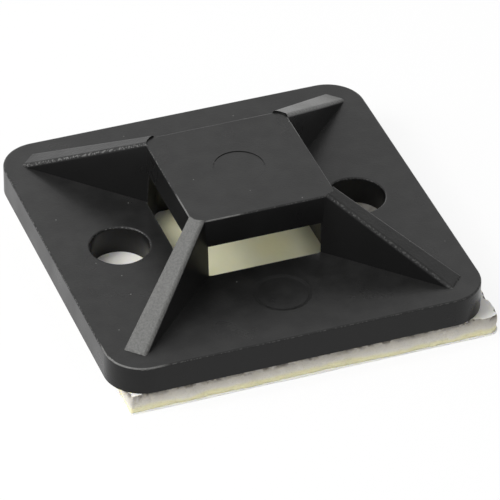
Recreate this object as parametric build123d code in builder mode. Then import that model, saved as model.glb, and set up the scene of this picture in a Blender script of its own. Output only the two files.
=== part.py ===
from build123d import *
import os
from math import radians, sqrt, tan

# A self-adhesive cable tie mount: a square moulded nylon base whose raised deck stands on four
# diagonal ribs, on a die-cut square of white foam tape with its release liner.
# All sizes are in millimetres. The origin is under the middle of the moulding, on the surface
# that the mount lies on. +Z is up, and the two screw holes lie along X. A reach is a distance
# from the middle, along X, Y or a diagonal.

# Base plate
plate_side = 28.0
plate_thickness = 2.2
plate_corner_radius = 2.8
plate_edge_radius = 0.15

# Screw holes, wide enough for an M4 screw
screw_hole_diameter = 4.3
screw_hole_spacing = 18.0
screw_hole_edge_radius = 0.15

# Deck, the raised square that the cables are tied down on
deck_side = 10.8
deck_thickness = 2.3
deck_corner_radius = 1.0
deck_edge_radius = 0.12

# Passage for the tie, between the plate's top and the deck's underside
passage_height = 2.5

# Ribs that carry the deck, one along each diagonal, standing a little proud where they meet it
rib_top_width = 1.25
rib_draft = 3.0
rib_edge_radius = 0.3
rib_step = 0.12
rib_corner_margin = 1.64
rib_toe_height = 0.12
rib_toe_run = 0.08

# Window under the deck, left by a tapered core that forms the passages from below.
# The core passes the deck's sides with a small clearance and stops at the posts under the ribs.
core_draft = 2.5
core_clearance = 0.03
core_corner_radius = 0.6
post_inner_reach = 6.75

# Shallow round marks of the mould: a step on the deck, and a dish in front of it on the plate
deck_mark_diameter = 3.7
plate_mark_diameter = 4.2
plate_mark_edge_run = 0.3
mark_depth = 0.05

# Foam tape, cut a little smaller than the plate and stuck on off centre, with its liner below
foam_margin = 0.2
foam_thickness = 1.4
foam_corner_radius = 0.6
foam_shift_x = 0.8
foam_shift_y = -0.2
liner_thickness = 0.1
liner_overhang = 0.08

# Heights above the surface that the mount lies on
foam_bottom = liner_thickness
plate_bottom = foam_bottom + foam_thickness
plate_top = plate_bottom + plate_thickness
deck_bottom = plate_top + passage_height
deck_top = deck_bottom + deck_thickness


def lean(height, draft):
    """How far a drafted wall leans outwards over a height."""
    return height * tan(radians(draft))


def corner_reach(side, radius):
    """How far a rounded square reaches along its diagonal."""
    return side / sqrt(2) - radius * (sqrt(2) - 1)


# Rib, drawn along +X from inside the deck's corner to its toe on the plate.
# Its top is one plane, from just above the deck's rounded corner down to the toe.
deck_rise = deck_top - plate_top
deck_corner_reach = corner_reach(deck_side, deck_corner_radius)
rib_reach = corner_reach(plate_side, plate_corner_radius) - rib_corner_margin
rib_foot_width = rib_top_width + 2 * lean(deck_rise, rib_draft)
rib_start = post_inner_reach - rib_foot_width
toe_start = rib_reach - rib_toe_run
rib_slope = (deck_rise + rib_step - rib_toe_height) / (toe_start - deck_corner_reach)
rib_start_height = rib_toe_height + rib_slope * (toe_start - rib_start)

with BuildPart() as rib:
    with BuildSketch(Plane.XY.offset(plate_top)):
        with Locations((rib_start, 0)):
            Rectangle(rib_reach, rib_foot_width, align=(Align.MIN, Align.CENTER))
    extrude(amount=rib_start_height, taper=rib_draft)
    with BuildSketch(Plane.XZ):
        with Locations((0, plate_top)):
            Polygon(
                (rib_start, 0),
                (rib_reach, 0),
                (toe_start, rib_toe_height),
                (rib_start, rib_start_height),
                align=None,
            )
    extrude(amount=rib_foot_width, both=True, mode=Mode.INTERSECT)
    ramp = rib.faces().sort_by(lambda face: face.normal_at().Z)[-1]
    fillet(ramp.edges().sort_by(SortBy.LENGTH)[-2:], rib_edge_radius)

# Core, the tapered block of air below the deck. Its cut corners leave the posts standing.
core_height = plate_thickness + passage_height
core_lean = lean(core_height, core_draft)
core_foot_side = deck_side + 2 * (core_clearance + core_lean)
core_foot_reach = post_inner_reach + core_lean

with BuildPart() as core:
    with BuildSketch(Plane.XY.offset(plate_bottom)):
        Rectangle(core_foot_side, core_foot_side)
        Rectangle(2 * core_foot_reach, 2 * core_foot_reach, rotation=45, mode=Mode.INTERSECT)
    extrude(amount=core_height, taper=core_draft)
    fillet(core.edges().filter_by(Plane.XY, reverse=True), core_corner_radius)

# Moulded body: plate, deck and ribs, made as one piece
with BuildPart() as mount_body:
    with BuildSketch(Plane.XY.offset(plate_bottom)):
        RectangleRounded(plate_side, plate_side, plate_corner_radius)
    extrude(amount=plate_thickness)
    fillet(mount_body.faces().sort_by(Axis.Z)[-1].edges(), plate_edge_radius)

    with BuildSketch(Plane.XY.offset(deck_bottom)):
        RectangleRounded(deck_side, deck_side, deck_corner_radius)
    extrude(amount=deck_thickness)
    fillet(mount_body.faces().sort_by(Axis.Z)[-1].edges(), deck_edge_radius)

    with PolarLocations(0, 4, start_angle=45):
        add(rib.part)

    # Above the deck the ribs end at its outline, in a low step.
    with BuildSketch(Plane.XY.offset(deck_top)):
        RectangleRounded(deck_side, deck_side, deck_corner_radius)
    extrude(amount=rib_start_height, mode=Mode.SUBTRACT)

    # The core opens the window through the plate and the passages on all four sides.
    add(core.part, mode=Mode.SUBTRACT)

    with BuildSketch(Plane.XY.offset(plate_top)):
        with GridLocations(screw_hole_spacing, 0, 2, 1):
            Circle(screw_hole_diameter / 2)
    extrude(amount=-plate_thickness, mode=Mode.SUBTRACT)
    circles = mount_body.edges().filter_by(GeomType.CIRCLE)
    mouths = circles.filter_by(lambda edge: edge.is_closed and edge.center().Z > plate_bottom)
    fillet(mouths, screw_hole_edge_radius)

    with BuildSketch(Plane.XY.offset(deck_top)):
        Circle(deck_mark_diameter / 2)
    extrude(amount=-mark_depth, mode=Mode.SUBTRACT)

    # The dish is a short cone with its wide end up, so its edge slopes gently.
    with Locations((0, -screw_hole_spacing / 2, plate_top)):
        Cone(
            plate_mark_diameter / 2 - plate_mark_edge_run,
            plate_mark_diameter / 2,
            mark_depth,
            align=(Align.CENTER, Align.CENTER, Align.MAX),
            mode=Mode.SUBTRACT,
        )

mount_body.part.label = "mount_body"

# Foam tape pad
foam_side = plate_side - 2 * foam_margin
with BuildPart() as foam_pad:
    with BuildSketch(Plane.XY.offset(foam_bottom)):
        with Locations((foam_shift_x, foam_shift_y)):
            RectangleRounded(foam_side, foam_side, foam_corner_radius)
    extrude(amount=foam_thickness)

foam_pad.part.label = "foam_pad"

# Release liner
liner_side = foam_side + 2 * liner_overhang
with BuildPart() as release_liner:
    with BuildSketch(Plane.XY):
        with Locations((foam_shift_x, foam_shift_y)):
            RectangleRounded(liner_side, liner_side, foam_corner_radius + liner_overhang)
    extrude(amount=liner_thickness)

release_liner.part.label = "release_liner"

os.makedirs("parts", exist_ok=True)
export_step(mount_body.part, "parts/mount_body.step")
export_step(foam_pad.part, "parts/foam_pad.step")
export_step(release_liner.part, "parts/release_liner.step")
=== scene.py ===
# %% [markdown]
# # A self-adhesive cable tie mount
#
# The object is a 28 mm square of black nylon with a raised deck in its middle. Four ribs carry
# the deck, a cable tie goes through below it, and a square of white foam tape holds the mount on
# a wall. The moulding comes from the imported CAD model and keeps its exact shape. The foam and
# the paper liner are soft or thin, so they are made here again with a cut, worn outline.

import math

import bmesh
import bpy
from mathutils import Matrix, Vector


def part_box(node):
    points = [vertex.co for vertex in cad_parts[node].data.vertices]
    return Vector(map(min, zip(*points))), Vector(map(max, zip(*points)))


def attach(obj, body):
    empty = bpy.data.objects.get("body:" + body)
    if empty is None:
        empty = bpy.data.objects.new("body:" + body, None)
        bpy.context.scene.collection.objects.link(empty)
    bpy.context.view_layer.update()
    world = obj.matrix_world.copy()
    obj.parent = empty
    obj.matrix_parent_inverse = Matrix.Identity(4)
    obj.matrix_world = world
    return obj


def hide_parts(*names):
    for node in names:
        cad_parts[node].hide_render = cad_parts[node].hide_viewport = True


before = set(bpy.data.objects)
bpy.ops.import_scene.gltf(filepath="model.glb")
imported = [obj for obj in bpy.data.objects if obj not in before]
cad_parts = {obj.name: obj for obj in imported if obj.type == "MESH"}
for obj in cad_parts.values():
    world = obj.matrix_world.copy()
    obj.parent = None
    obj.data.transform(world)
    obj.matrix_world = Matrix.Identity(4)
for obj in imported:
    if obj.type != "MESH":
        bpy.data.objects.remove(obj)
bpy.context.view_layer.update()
MM = 0.001
for name in sorted(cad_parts):
    low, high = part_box(name)
    print(name, "mm", [round(v / MM, 2) for v in high - low])

# %% [markdown]
# ## The camera
#
# A product photograph like this is taken from far away with a long lens, so parallel edges stay
# nearly parallel. The direction, the slight roll and the distance were measured on the edges of
# the plate. So was the focal length, in pixels of the photograph, which is 500 pixels wide. The
# camera is built from three directions: to its right, up in the picture, and back from the object
# to the lens. A matrix with those three as columns turns the camera exactly, which is easier to
# read than three Euler angles.

# %% Place the camera
azimuth = math.radians(-20.664)
elevation = math.radians(37.153)
roll = math.radians(0.776)
distance = 322.88 * MM
aim = Vector((-0.145, -0.064, 3.7)) * MM
aside = 0.939 * MM
raised = -2.077 * MM
focal_pixels = 4498.4
photo_pixels = 500
sensor_width = 36

back = Vector((
    math.sin(azimuth) * math.cos(elevation),
    -math.cos(azimuth) * math.cos(elevation),
    math.sin(elevation),
))
level_right = (-back).cross(Vector((0, 0, 1))).normalized()
level_up = level_right.cross(-back)
right = level_right * math.cos(roll) + level_up * math.sin(roll)
up = level_up * math.cos(roll) - level_right * math.sin(roll)

camera_data = bpy.data.cameras.new("photo_camera")
camera_data.sensor_width = sensor_width
camera_data.lens = focal_pixels * sensor_width / photo_pixels
camera_data.clip_start = 0.01
camera = bpy.data.objects.new("photo_camera", camera_data)
camera.matrix_world = Matrix.Translation(
    aim + back * distance + right * aside + up * raised
) @ Matrix((right, up, back)).transposed().to_4x4()
bpy.context.scene.collection.objects.link(camera)
bpy.context.scene.camera = camera
print("camera at mm", [round(v / MM, 1) for v in camera.matrix_world.translation])

# %% [markdown]
# ## Two helpers for node trees
#
# Materials, the world and Geometry Nodes are all node trees. Each one is built with the same two
# steps: put a node in with its settings and inputs, and wire an output to an input. An input
# given as a socket is wired, and any other value is written on the socket itself.

# %% Helpers for node trees
def put(tree, kind, inputs=None, **settings):
    """Adds a node, writes its settings, and fills its inputs by name or number."""
    node = tree.nodes.new(kind)
    for key, value in settings.items():
        setattr(node, key, value)
    for key, value in (inputs or {}).items():
        socket = node.inputs[key]
        if isinstance(value, bpy.types.NodeSocket):
            tree.links.new(value, socket)
        else:
            socket.default_value = value
    return node


def math_node(tree, operation, *values):
    """A Math node's output for one, two or three values or sockets."""
    return put(tree, "ShaderNodeMath", dict(enumerate(values)), operation=operation).outputs[0]


# %% [markdown]
# ## The white tent
#
# The photograph was taken in a white light tent. The world is that tent: it gives a weak, even
# light, and its full white shows only to the camera and in reflections. A picture of a studio
# could do this too, but one plain white suits every camera angle.

# %% The tent
tent_light = 0.15
scene = bpy.context.scene
scene.view_settings.view_transform = "Standard"


def seen_by_camera(tree):
    """One for the camera, reflections and clear parts, and zero for light on its way."""
    rays = put(tree, "ShaderNodeLightPath").outputs
    seen = math_node(tree, "MAXIMUM", rays["Is Camera Ray"], rays["Is Glossy Ray"])
    return math_node(tree, "MAXIMUM", seen, rays["Is Transmission Ray"])


world = bpy.data.worlds.new("white_tent")
world.use_nodes = True
scene.world = world
tree = world.node_tree
tree.nodes.clear()
strength = math_node(tree, "MULTIPLY_ADD", seen_by_camera(tree), 1 - tent_light, tent_light)
tent = put(tree, "ShaderNodeBackground", {"Color": (1, 1, 1, 1), "Strength": strength})
put(tree, "ShaderNodeOutputWorld", {"Surface": tent.outputs[0]})
print("tent light", tent_light)

# %% [markdown]
# ## Softboxes
#
# Black plastic shows mostly what it mirrors, so the lamps set the shade of each face. Square
# softboxes stand round the object: strong ones on its left, which light the plate's left wall
# and the pale rib at the front left, a small one overhead, which puts the sheen on that rib,
# and weak ones in front and behind. Those behind turn the level faces from black to dark grey,
# and those in front shine under the deck. A lamp's power says little about how bright its
# reflection is, so the helper takes that brightness and works out the power.

# %% Softboxes
lamp_distance = 0.5


def softbox(name, turn, height, radiance, size=0.26):
    """A square lamp that faces the object, its power set by its radiance. Angles in degrees."""
    turn, height = math.radians(turn), math.radians(height)
    place = lamp_distance * Vector((
        math.cos(turn) * math.cos(height), math.sin(turn) * math.cos(height), math.sin(height)
    ))
    data = bpy.data.lights.new(name, "AREA")
    data.shape = "SQUARE"
    data.size = size
    data.energy = radiance * math.pi * size * size
    lamp = bpy.data.objects.new(name, data)
    lamp.location = place
    lamp.rotation_euler = (-place).to_track_quat("-Z", "Y").to_euler()
    scene.collection.objects.link(lamp)
    print(name, "W", round(data.energy, 2))


softbox("left_softbox", 180, 32, 6.0)
softbox("upper_left_softbox", 180, 52, 6.0)
softbox("overhead_softbox", 139, 71, 4.0, size=0.12)
softbox("front_left_softbox", 225, 42, 1.2)
softbox("front_softbox", 270, 34, 1.8)
softbox("back_softbox", 90, 22, 1.2)
softbox("back_right_softbox", 45, 50, 0.8)

# %% [markdown]
# ## Floor
#
# The background of a catalogue picture is white paper. The floor is a matt white sheet that is
# partly bleached: most of what the camera sees of it is a plain white glow, and the rest is the
# lit paper, which takes the object's shadow. More light would whiten it too, but it would also
# wash out the object.

# %% The floor
floor_half_side = 3.0
floor_glow = 0.88

mesh = bpy.data.meshes.new("floor")
corners = [(-1, -1), (1, -1), (1, 1), (-1, 1)]
mesh.from_pydata(
    [(x * floor_half_side, y * floor_half_side, 0) for x, y in corners], [], [(0, 1, 2, 3)]
)
floor = bpy.data.objects.new("floor", mesh)
scene.collection.objects.link(floor)
paper = bpy.data.materials.new("floor_paper")
paper.use_nodes = True
tree = paper.node_tree
tree.nodes.clear()
bleached = math_node(tree, "MULTIPLY", seen_by_camera(tree), floor_glow)
matt = put(tree, "ShaderNodeBsdfDiffuse", {"Color": (0.95, 0.95, 0.95, 1)})
white = put(tree, "ShaderNodeEmission", {"Color": (1, 1, 1, 1), "Strength": 1.0})
both = put(tree, "ShaderNodeMixShader", {0: bleached, 1: matt.outputs[0], 2: white.outputs[0]})
put(tree, "ShaderNodeOutputMaterial", {"Surface": both.outputs[0]})
mesh.materials.append(paper)
print("floor side m", 2 * floor_half_side)

# %% [markdown]
# ## Helpers for materials
#
# Every material here is made of a few small steps: a noise for blotches, a ramp that moves a
# value from one span to another, a blend of two colours, and masks that are multiplied. Their
# patterns read object coordinates, in metres, so a grain keeps its real size on every piece.
# The ramp and the products serve the Geometry Nodes tree further down too.

# %% Helpers for materials
def new_material(name):
    """An empty material. Returns it with its node tree and its object coordinates."""
    material = bpy.data.materials.new(name)
    material.use_nodes = True
    tree = material.node_tree
    tree.nodes.clear()
    return material, tree, put(tree, "ShaderNodeTexCoord").outputs["Object"]


def noise(tree, coords, length, detail=2.0):
    """A noise whose blotches are about this long, in metres."""
    return put(tree, "ShaderNodeTexNoise", {
        "Vector": coords, "Scale": 1 / length, "Detail": detail,
    }).outputs[0]


def ramp(tree, value, start, end, first=0.0, last=1.0):
    """Moves a value from one span to another, softly at both ends."""
    return put(tree, "ShaderNodeMapRange", {
        "Value": value, "From Min": start, "From Max": end, "To Min": first, "To Max": last,
    }, interpolation_type="SMOOTHSTEP").outputs[0]


def combine(tree, operation, first, *others):
    """Works through several values with one operation, such as MULTIPLY or MAXIMUM."""
    for other in others:
        first = math_node(tree, operation, first, other)
    return first


def vector_value(tree, operation, *vectors):
    """A number measured on vectors, such as a length, a distance or a dot product."""
    inputs = dict(enumerate(vectors))
    return put(tree, "ShaderNodeVectorMath", inputs, operation=operation).outputs["Value"]


def blend(tree, share, first, second):
    """A colour between two others. Each is a socket or three numbers."""
    first, second = [c if isinstance(c, bpy.types.NodeSocket) else (*c, 1) for c in (first, second)]
    return put(tree, "ShaderNodeMix", {0: share, 6: first, 7: second}, data_type="RGBA").outputs[2]


# %% [markdown]
# ## Black nylon: which face, and how worn
#
# The moulding is black nylon with a satin surface. Its wear could be painted by hand, but masks
# made of nodes fit the true edges at any size. The direction of each CAD face tells level faces,
# sloping rib tops and the roundings along the ribs apart. The Bevel node gives the direction
# that a rounded edge would have, and where it differs from the face's own, there is an edge.
# Only outer edges that face up are made pale: partly real wear, partly a painted highlight along
# the edge. Ambient occlusion leaves out inner corners, because nothing rubs there. The mark on the
# deck is too shallow to be rubbed, so the middle is left out as well.

# %% Masks on the nylon
edge_width = 0.2 * MM
inner_corner = 0.4 * MM
worn_patch = 0.3 * MM
deck_mark_zone = 2.5 * MM

nylon, tree, coords = new_material("black_nylon")
flat_normal = put(tree, "ShaderNodeNewGeometry").outputs["True Normal"]
facing_up = put(tree, "ShaderNodeSeparateXYZ", {0: flat_normal}).outputs["Z"]
upward = ramp(tree, facing_up, 0.0, 0.2)
rib_top = combine(
    tree, "MULTIPLY", ramp(tree, facing_up, 0.2, 0.5), ramp(tree, facing_up, 0.93, 0.97, 1.0, 0.0)
)
rib_edge = combine(
    tree, "MULTIPLY", ramp(tree, facing_up, 0.3, 0.5), ramp(tree, facing_up, 0.75, 0.85, 1.0, 0.0)
)

rounded = put(tree, "ShaderNodeBevel", {"Radius": edge_width}, samples=6).outputs[0]
agree = vector_value(tree, "DOT_PRODUCT", rounded, flat_normal)
open_air = put(tree, "ShaderNodeAmbientOcclusion", {
    "Distance": inner_corner,
}, samples=6).outputs["AO"]
edge = combine(tree, "MULTIPLY", ramp(tree, agree, 0.97, 0.8), ramp(tree, open_air, 0.7, 0.95))
flat = put(tree, "ShaderNodeVectorMath", {0: coords, 1: (1, 1, 0)}, operation="MULTIPLY")
from_middle = vector_value(tree, "LENGTH", flat.outputs[0])
patchy = ramp(tree, noise(tree, coords, worn_patch, 3.0), 0.35, 0.7)
off_mark = ramp(tree, from_middle, deck_mark_zone, deck_mark_zone + 0.5 * MM)
# Pale up-facing outer edges: partly real wear, partly a painted highlight along the edge.
wear_and_highlight = combine(tree, "MULTIPLY", edge, patchy, upward, off_mark)
print("masks on", nylon.name, "with", len(tree.nodes), "nodes so far")

# %% [markdown]
# ## Black nylon: scuffs, painted sheen and glints, and dust
#
# The tops of the two ribs on one diagonal are painted pale: partly a scuffed finish, partly
# painted sheen. That diagonal is where x equals y, so the difference of the two tells how far
# off it a point lies.
# The roundings along the ribs carry a row of fine bright dots of painted glint, fainter at the front
# right.
# A few specks of dust lie on all that faces up: they are points of a Voronoi pattern, and only
# some of its cells are kept, so they lie far apart. A thin uneven film covers the rest.

# %% Scuffs, painted glints and dust
scratch_length = 0.15 * MM
scuff_and_sheen_zone = 3 * MM
glint_length = 0.15 * MM
glint_fade = 10 * MM
dust_spacing = 1.1 * MM

# Painted sheen with some real scuffing: the rib tops on the x = y diagonal are made paler.
across = vector_value(tree, "DOT_PRODUCT", coords, (1, -1, 0))
off_diagonal = math_node(tree, "ABSOLUTE", across)
on_bright_diagonal = ramp(tree, off_diagonal, scuff_and_sheen_zone, scuff_and_sheen_zone + 1 * MM, 1.0, 0.0)
grain_and_sheen_level = ramp(tree, noise(tree, coords, scratch_length), 0.3, 0.7, 0.34, 0.46)
scuff_and_sheen = combine(tree, "MULTIPLY", rib_top, grain_and_sheen_level, on_bright_diagonal)

# Painted glints: bright dots in the colour along the ribs' roundings.
glint_grain = ramp(tree, noise(tree, coords, glint_length, 0.0), 0.5, 0.65)
painted_glints = combine(
    tree, "MULTIPLY", rib_edge, glint_grain, ramp(tree, across, -glint_fade, glint_fade, 1.0, 0.4)
)

specks = put(tree, "ShaderNodeTexVoronoi", {"Vector": coords, "Scale": 1 / dust_spacing})
lot = put(tree, "ShaderNodeSeparateColor", {0: specks.outputs["Color"]}).outputs[0]
few = math_node(tree, "GREATER_THAN", lot, 0.6)
speck = ramp(tree, specks.outputs["Distance"], 0.03, 0.06, 1.0, 0.0)
dust = combine(tree, "MULTIPLY", speck, few, ramp(tree, facing_up, 0.3, 0.6))
film = combine(
    tree, "MULTIPLY", ramp(tree, facing_up, 0.3, 0.9),
    ramp(tree, noise(tree, coords, 1.5 * MM, 4.0), 0.3, 0.7, 0.01, 0.03),
)
print("wear on", nylon.name, "with", len(tree.nodes), "nodes so far")

# %% [markdown]
# ## Black nylon: grain, gloss and colour
#
# The mould leaves a fine grain. It is far less than a tenth of a millimetre high, so it is a bump
# and not a shape. Three bumps follow each other: one everywhere, one on the rib tops, and the
# strongest on the ribs' roundings. Rubbed and dusty places are duller. The colour is nearly
# black, and every kind of wear, together with the painted sheen, highlights and glints, moves it
# towards the same pale grey. The largest of them wins, so they don't add up to white where they
# meet.

# %% The black nylon material
grain_height = 0.02 * MM
bead_height = 0.04 * MM
nylon_black = (0.005, 0.005, 0.005)
wear_and_sheen_grey = (0.3, 0.3, 0.29)

fine_grain = noise(tree, coords, 0.14 * MM, 3.0)
coarse_grain = noise(tree, coords, 0.2 * MM, 1.0)
grain = put(tree, "ShaderNodeBump", {
    "Height": fine_grain, "Strength": 0.35, "Distance": grain_height,
})
blasted = put(tree, "ShaderNodeBump", {
    "Height": coarse_grain, "Strength": rib_top, "Distance": grain_height,
    "Normal": grain.outputs[0],
})
beaded = put(tree, "ShaderNodeBump", {
    "Height": coarse_grain, "Strength": rib_edge, "Distance": bead_height,
    "Normal": blasted.outputs[0],
})

roughness = ramp(tree, noise(tree, coords, 3.5 * MM), 0.3, 0.7, 0.27, 0.34)
for mask, duller in ((edge, 0.25), (dust, 0.4), (rib_top, 0.1)):
    roughness = math_node(tree, "MULTIPLY_ADD", mask, duller, roughness)
# Real wear and dust, and painted highlights and glints, each make the colour paler.
wear_and_painted_light = [
    math_node(tree, "MULTIPLY", mask, share)
    for mask, share in ((wear_and_highlight, 0.35), (dust, 0.5), (painted_glints, 0.3))
]
paler = combine(tree, "MAXIMUM", film, scuff_and_sheen, *wear_and_painted_light)
shader = put(tree, "ShaderNodeBsdfPrincipled", {
    "Base Color": blend(tree, paler, nylon_black, wear_and_sheen_grey),
    "Roughness": roughness, "Normal": beaded.outputs[0], "Specular IOR Level": 0.25,
})
put(tree, "ShaderNodeOutputMaterial", {"Surface": shader.outputs[0]})
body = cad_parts["mount_body"]
body.data.materials.clear()
body.data.materials.append(nylon)
print(nylon.name, "has", len(tree.nodes), "nodes")

# %% [markdown]
# ## White foam
#
# The tape is a white closed-cell foam. It is pale and lets a little light through, so it gets
# some subsurface scattering, no deeper than the sheet is thick, or its foot would darken. The
# wall isn't one white: it is yellower in a band near the liner, and painted shade greys it
# towards the black plate, whose overhang shades it. Right under the plate's edge it holds
# dark spots, partly grime and partly painted shade in the gap. A helper makes the pale base
# that the foam, the adhesive and the paper share, with small cells in its bump.

# %% The foam material
def soft_material(name, roughness, cell, bump_height, coat=0.0, depth=0.25 * MM):
    """A pale material with fine cells. Returns it with its tree, shader and coordinates."""
    material, tree, coords = new_material(name)
    cells = put(tree, "ShaderNodeTexVoronoi", {"Vector": coords, "Scale": 1 / cell})
    bump = put(tree, "ShaderNodeBump", {
        "Height": cells.outputs["Distance"], "Strength": 0.6, "Distance": bump_height,
    })
    shader = put(tree, "ShaderNodeBsdfPrincipled", {
        "Roughness": roughness, "Normal": bump.outputs[0],
        "Subsurface Weight": 0.5, "Subsurface Radius": (1.0, 0.9, 0.6),
        "Subsurface Scale": depth, "Coat Weight": coat, "Coat Roughness": 0.35,
    })
    put(tree, "ShaderNodeOutputMaterial", {"Surface": shader.outputs[0]})
    return material, tree, shader, coords


foam_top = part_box("foam_pad")[1].z
yellow_band = 1.2 * MM
band_blur = 0.2 * MM
grime_and_shade_depth = 0.4 * MM
clean_foam = (0.95, 0.92, 0.83)
yellow_foam = (0.98, 0.93, 0.6)
foam_in_shade = (0.3, 0.275, 0.245)
grime_and_shade_brown = (0.06, 0.05, 0.04)

foam_white, tree, shader, coords = soft_material(
    "foam_white", roughness=0.85, cell=0.16 * MM, bump_height=0.05 * MM
)
height = put(tree, "ShaderNodeSeparateXYZ", {0: coords}).outputs["Z"]
edge_of_band = math_node(tree, "MULTIPLY", noise(tree, coords, 3.0 * MM, 3.0), yellow_band)
above_band = math_node(tree, "SUBTRACT", height, edge_of_band)
warm = ramp(tree, above_band, -band_blur, band_blur, 1.0, 0.0)
# Painted shade: the wall turns grey towards the plate above it.
painted_shade_to_plate = ramp(tree, height, -0.2 * MM, foam_top + 0.1 * MM, 0.0, 0.85)
spots = ramp(tree, noise(tree, coords, 0.7 * MM, 3.0), 0.48, 0.6, 0.0, 0.85)
near_top = ramp(tree, height, foam_top - grime_and_shade_depth, foam_top - 0.05 * MM)
# Dark spots under the plate's edge: partly grime, partly painted shade in the gap.
grime_and_shade = combine(tree, "MULTIPLY", near_top, spots)
tint = blend(tree, warm, clean_foam, yellow_foam)
tint = blend(tree, painted_shade_to_plate, tint, foam_in_shade)
tint = blend(tree, grime_and_shade, tint, grime_and_shade_brown)
tree.links.new(tint, shader.inputs["Base Color"])
print(foam_white.name, "has", len(tree.nodes), "nodes")

# %% [markdown]
# ## The adhesive film
#
# Both faces of the foam carry a film of adhesive, and the upper one shows in the window under
# the deck and at the bottom of the screw holes. It is smoother than the cut wall and has a
# faint shine. In the window it is yellower, with one patch of painted shade, and painted shade
# darkens the back of the right hole. Each of these places is the distance from a point, put
# through a ramp, so its edge is soft.

# %% The adhesive film's material
window_shade_centre = (2.2 * MM, -0.9 * MM, foam_top)
hole_shade_centre = (10.3 * MM, 1.5 * MM, foam_top)
clean_film = (0.98, 0.95, 0.88)
yellow_film = (0.99, 0.95, 0.64)
film_in_shade = (0.96, 0.88, 0.48)
hole_shade_colour = (0.14, 0.13, 0.11)

tape_film, tree, shader, coords = soft_material(
    "tape_film", roughness=0.5, cell=0.4 * MM, bump_height=0.02 * MM, coat=0.25
)
from_centre = vector_value(tree, "LENGTH", coords)
yellowed = ramp(tree, from_centre, 5.5 * MM, 8 * MM, 1.0, 0.0)
# Painted shade: a soft darker patch on the film under the deck.
from_patch = vector_value(tree, "DISTANCE", coords, window_shade_centre)
painted_window_shade = ramp(tree, from_patch, 0.5 * MM, 2.2 * MM, 0.6, 0.0)
# Painted shade: a dark soft spot at the back of the right screw hole.
from_hole_shade = vector_value(tree, "DISTANCE", coords, hole_shade_centre)
uneven = ramp(tree, noise(tree, coords, 0.6 * MM, 2.0), 0.4, 0.55, 1.0, 0.85)
hole_shade = combine(tree, "MULTIPLY", ramp(tree, from_hole_shade, 0.7 * MM, 1.9 * MM, 0.85, 0.0), uneven)
tint = blend(tree, yellowed, clean_film, yellow_film)
tint = blend(tree, painted_window_shade, tint, film_in_shade)
tint = blend(tree, hole_shade, tint, hole_shade_colour)
tree.links.new(tint, shader.inputs["Base Color"])
print(tape_film.name, "has", len(tree.nodes), "nodes")

# %% [markdown]
# ## The liner's paper
#
# The liner is coated paper: paler than the foam, smoother, and with a faint shine. The foam's
# helper makes it too, with finer cells that read as fibres. Light goes only a hundredth of a
# millimetre deep here, because the sheet itself is a tenth of a millimetre thick.

# %% The paper material
liner_paper, tree, shader, _ = soft_material(
    "liner_paper", roughness=0.55, cell=0.09 * MM, bump_height=0.01 * MM, coat=0.15,
    depth=0.01 * MM,
)
shader.inputs["Base Color"].default_value = (0.97, 0.97, 0.94, 1)
print(liner_paper.name, "has", len(tree.nodes), "nodes")

# %% [markdown]
# ## The die-cut block
#
# A steel rule die presses the pad out of a roll of tape, so its outline is a square with small
# corners and its wall is upright. The block is a closed mesh: one ring of points for each layer
# of the wall, quads between the rings, and one flat face for the top and one for the bottom.
# The corners differ, because the photograph shows a sharp one at the front left and a rounder
# one at the front right.

# %% A plain block in the place of a CAD node
def outline(low, high, radii, step):
    """Points round a square, about a step apart on its sides. Radii start at the back right."""
    signs = ((1, 1), (-1, 1), (-1, -1), (1, -1))
    corners = []
    for quarter, ((sx, sy), radius) in enumerate(zip(signs, radii)):
        centre = Vector((
            high.x - radius if sx > 0 else low.x + radius,
            high.y - radius if sy > 0 else low.y + radius,
        ))
        for part in range(7):
            angle = math.radians(90 * quarter + 15 * part)
            corners.append(centre + radius * Vector((math.cos(angle), math.sin(angle))))
    ring = []
    for here, there in zip(corners, corners[1:] + corners[:1]):
        count = max(1, round((there - here).length / step))
        ring += [here.lerp(there, i / count) for i in range(count)]
    return ring


def die_cut_block(name, node, radii, step, layers, clear=0.0):
    """A closed block as large as the CAD node, with a wall of small quads."""
    low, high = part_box(node)
    top = high.z - clear
    ring = outline(low, high, radii, step)
    mesh = bpy.data.meshes.new(name)
    bm = bmesh.new()
    rings = []
    for layer in range(layers + 1):
        z = low.z + (top - low.z) * layer / layers
        rings.append([bm.verts.new((p.x, p.y, z)) for p in ring])
    for lower, upper in zip(rings, rings[1:]):
        for i in range(len(ring)):
            j = (i + 1) % len(ring)
            bm.faces.new((lower[i], lower[j], upper[j], upper[i])).smooth = True
    bm.faces.new(rings[-1])
    bm.faces.new(reversed(rings[0]))
    bm.to_mesh(mesh)
    bm.free()
    block = bpy.data.objects.new(name, mesh)
    scene.collection.objects.link(block)
    print(name, len(mesh.vertices), "points,", len(mesh.polygons), "faces")
    return block


# %% [markdown]
# ## The cut edge, in Geometry Nodes
#
# A cut through foam shows hundreds of opened cells. They repeat and follow the wall, so a
# Geometry Nodes tree presses them in. Its heart is one number for each point: how far the wall
# moves outwards there. A slow noise makes the outline wander, and the wall bulges a little at
# half height. A Voronoi pattern gives the distance from the nearest cell's middle, and points
# near a middle move inwards. Along the top edge a faster noise crushes the foam back below the
# plate.

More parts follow.
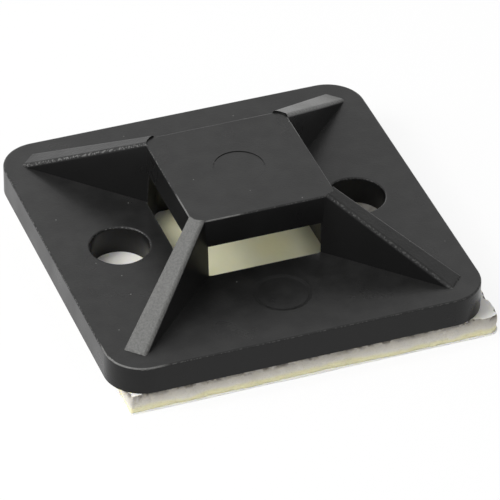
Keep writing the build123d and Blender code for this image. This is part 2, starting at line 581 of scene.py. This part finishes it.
# %% How far each point of the wall moves
def wall_offset(tree, given):
    """A distance outwards, in metres, from the tree's own inputs."""
    def seeded_noise(length, detail):
        scale = math_node(tree, "DIVIDE", 1.0, length)
        return put(tree, "ShaderNodeTexNoise", {
            "W": given["Seed"], "Scale": scale, "Detail": detail,
        }, noise_dimensions="4D").outputs[0]

    position = put(tree, "GeometryNodeInputPosition").outputs[0]
    z = put(tree, "ShaderNodeSeparateXYZ", {0: position}).outputs["Z"]
    heights = put(tree, "GeometryNodeAttributeStatistic", {
        "Geometry": given["Geometry"], "Attribute": z,
    })
    top, bottom = heights.outputs["Max"], heights.outputs["Min"]

    waves = ramp(tree, seeded_noise(given["Wave length"], 2.0), 0.3, 0.7, -1.0, 1.0)
    out = math_node(tree, "MULTIPLY", waves, given["Wave height"])
    share = ramp(tree, z, bottom, top)
    rest = math_node(tree, "SUBTRACT", 1.0, share)
    belly = combine(tree, "MULTIPLY", share, rest, given["Bulge"], 4.0)
    out = math_node(tree, "ADD", out, belly)

    cell = put(tree, "ShaderNodeTexVoronoi", {
        "W": given["Seed"], "Scale": math_node(tree, "DIVIDE", 1.0, given["Cell size"]),
    }, voronoi_dimensions="4D").outputs["Distance"]
    pit = math_node(tree, "MULTIPLY", ramp(tree, cell, 0.1, 0.6, 1.0, 0.0), given["Cell depth"])
    out = math_node(tree, "SUBTRACT", out, pit)

    rim = ramp(tree, math_node(tree, "SUBTRACT", top, z), 0.0, 0.45 * MM, 1.0, 0.0)
    bites = ramp(tree, seeded_noise(0.9 * MM, 3.0), 0.46, 0.62, 0.15, 1.0)
    crush = combine(tree, "MULTIPLY", rim, bites, given["Crushed edge"])
    return math_node(tree, "SUBTRACT", out, crush)


# %% [markdown]
# ## The tree around it
#
# Every size is a named input of the tree, so the same tree makes the thin liner with other
# numbers. The points move level with the floor, along their normal, so the block keeps its
# height and its closed top and bottom. At the end the wall and the top get their materials.

# %% The tree that works the cut edge
def cut_edge_tree():
    """Moves a block's wall in and out. All sizes are in metres."""
    tree = bpy.data.node_groups.new("cut_edge", "GeometryNodeTree")
    faces = tree.interface
    faces.new_socket("Geometry", in_out="INPUT", socket_type="NodeSocketGeometry")
    sizes = ("Wave height", "Wave length", "Bulge", "Cell size", "Cell depth", "Crushed edge", "Seed")
    for name in sizes:
        faces.new_socket(name, in_out="INPUT", socket_type="NodeSocketFloat")
    for name in ("Wall", "Top"):
        faces.new_socket(name, in_out="INPUT", socket_type="NodeSocketMaterial")
    faces.new_socket("Geometry", in_out="OUTPUT", socket_type="NodeSocketGeometry")
    given = put(tree, "NodeGroupInput").outputs

    out = wall_offset(tree, given)
    normal = put(tree, "GeometryNodeInputNormal").outputs[0]
    level = put(tree, "ShaderNodeVectorMath", {0: normal, 1: (1, 1, 0)}, operation="MULTIPLY")
    level = put(tree, "ShaderNodeVectorMath", {0: level.outputs[0]}, operation="NORMALIZE")
    shift = put(tree, "ShaderNodeVectorMath", {0: level.outputs[0], "Scale": out}, operation="SCALE")
    moved = put(tree, "GeometryNodeSetPosition", {
        "Geometry": given["Geometry"], "Offset": shift.outputs[0],
    })
    real = put(tree, "GeometryNodeRealizeInstances", {0: moved.outputs[0]})
    walls = put(tree, "GeometryNodeSetMaterial", {
        "Geometry": real.outputs[0], "Material": given["Wall"],
    })
    facing_up = put(tree, "FunctionNodeCompare", {
        0: put(tree, "ShaderNodeSeparateXYZ", {0: normal}).outputs["Z"], 1: 0.9,
    }, operation="GREATER_THAN").outputs[0]
    tops = put(tree, "GeometryNodeSetMaterial", {
        "Geometry": walls.outputs[0], "Selection": facing_up, "Material": given["Top"],
    })
    put(tree, "NodeGroupOutput", {0: tops.outputs[0]})
    return tree


def grow(piece, tree, values):
    """Runs a Geometry Nodes tree on a piece with these inputs and keeps the plain mesh."""
    modifier = piece.modifiers.new(tree.name, "NODES")
    modifier.node_group = tree
    for socket in tree.interface.items_tree:
        if socket.in_out == "INPUT" and socket.name in values:
            modifier[socket.identifier] = values[socket.name]
    graph = bpy.context.evaluated_depsgraph_get()
    made = bpy.data.meshes.new_from_object(piece.evaluated_get(graph))
    piece.modifiers.remove(modifier)
    piece.data = made
    print(piece.name, len(made.polygons), "faces,", [m.name for m in made.materials])


# %% [markdown]
# ## The foam pad
#
# The pad is a little smaller than the plate and stuck on off centre, so it shows on the right
# and hides on the left. The real foam is crushed along its top, so its wall gets a slow wave, a
# slight bulge, opened cells and a bitten upper edge. It stays a few thousandths of a
# millimetre below the plate, so the two faces don't flicker into each other.

# %% The foam pad
cut_edge = cut_edge_tree()
foam = die_cut_block(
    "foam_tape_pad", "foam_pad", radii=[0.6 * MM, 0.4 * MM, 0.12 * MM, 0.8 * MM],
    step=0.11 * MM, layers=12, clear=0.006 * MM,
)
grow(foam, cut_edge, {
    "Wave height": 0.07 * MM, "Wave length": 3.2 * MM, "Bulge": 0.05 * MM,
    "Cell size": 0.42 * MM, "Cell depth": 0.06 * MM, "Crushed edge": 0.28 * MM, "Seed": 4.0,
    "Wall": foam_white, "Top": tape_film,
})
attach(foam, "root")
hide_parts("foam_pad")

# %% [markdown]
# ## The release liner
#
# The paper on the lower adhesive stands out past the foam by less than a tenth of a millimetre.
# It is too thin for cells that show, so the same tree only makes its outline wander.

# %% The release liner
liner = die_cut_block(
    "liner_sheet", "release_liner", radii=[0.6 * MM, 0.45 * MM, 0.2 * MM, 0.8 * MM],
    step=0.3 * MM, layers=2, clear=0.002 * MM,
)
grow(liner, cut_edge, {
    "Wave height": 0.03 * MM, "Wave length": 5.0 * MM, "Bulge": 0.0,
    "Cell size": 0.3 * MM, "Cell depth": 0.01 * MM, "Crushed edge": 0.0, "Seed": 9.0,
    "Wall": liner_paper, "Top": liner_paper,
})
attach(liner, "root")
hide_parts("release_liner")
